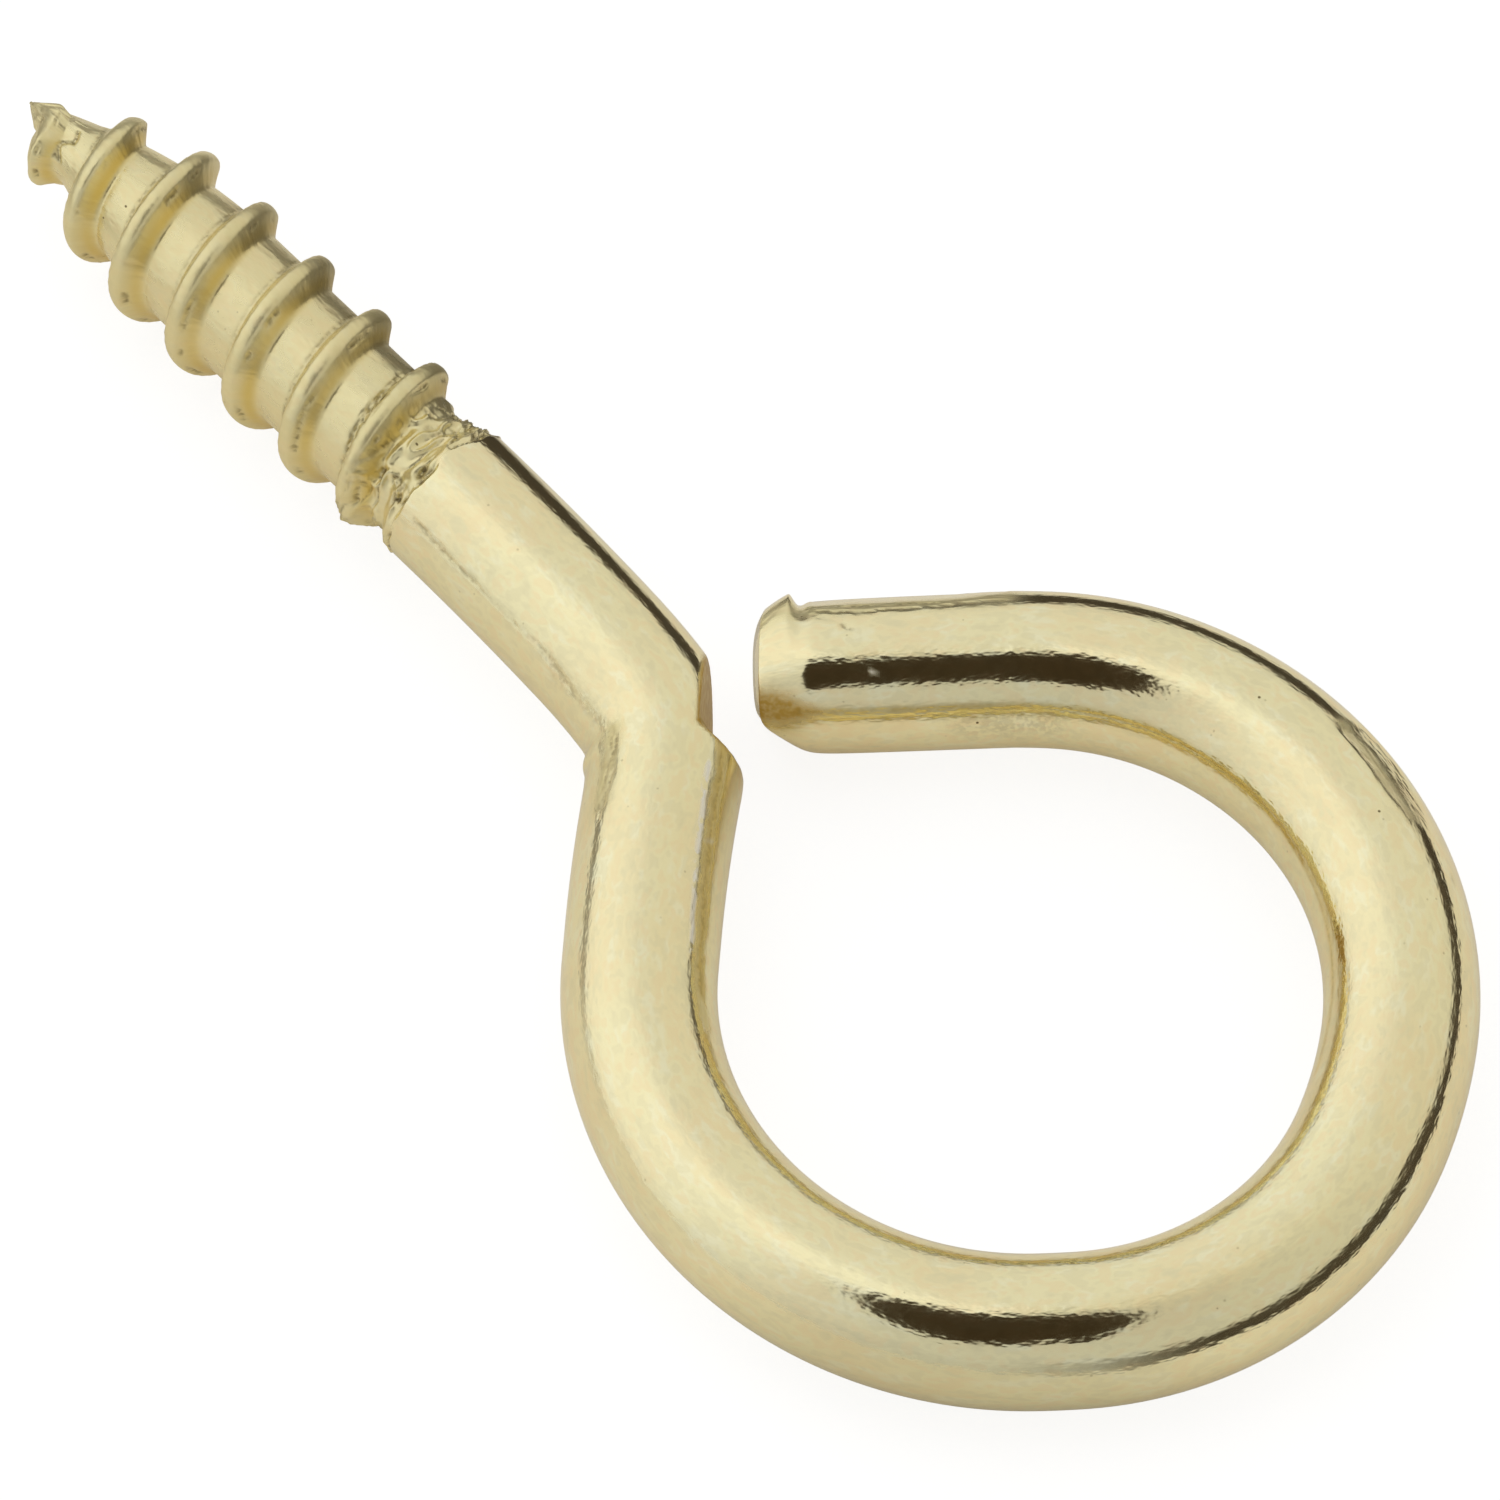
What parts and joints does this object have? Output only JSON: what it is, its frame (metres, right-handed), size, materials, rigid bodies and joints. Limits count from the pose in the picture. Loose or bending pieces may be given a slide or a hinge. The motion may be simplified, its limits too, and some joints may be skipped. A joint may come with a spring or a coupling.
{
  "type": "screw eye",
  "caption": "Brass-plated wire screw eye: gimlet-pointed wood thread, short plain shank, sharp neck and an open round eye whose sheared end stops just short of the neck.",
  "frame": {"origin": "middle of the eye's ring, at mid thickness of the wire", "axes": "+X along the thread to its point; +Y to the side that the neck leaves the shank to; +Z square to the plane that the eye and the shank lie in. The part rests flat on its -Z side."},
  "size_m": [0.0415, 0.02, 0.004],
  "materials": {
    "brass": "bright brass plating over steel wire"
  },
  "bodies": {
    "root": {"screw_eye": "brass"}
  },
  "joints": []
}
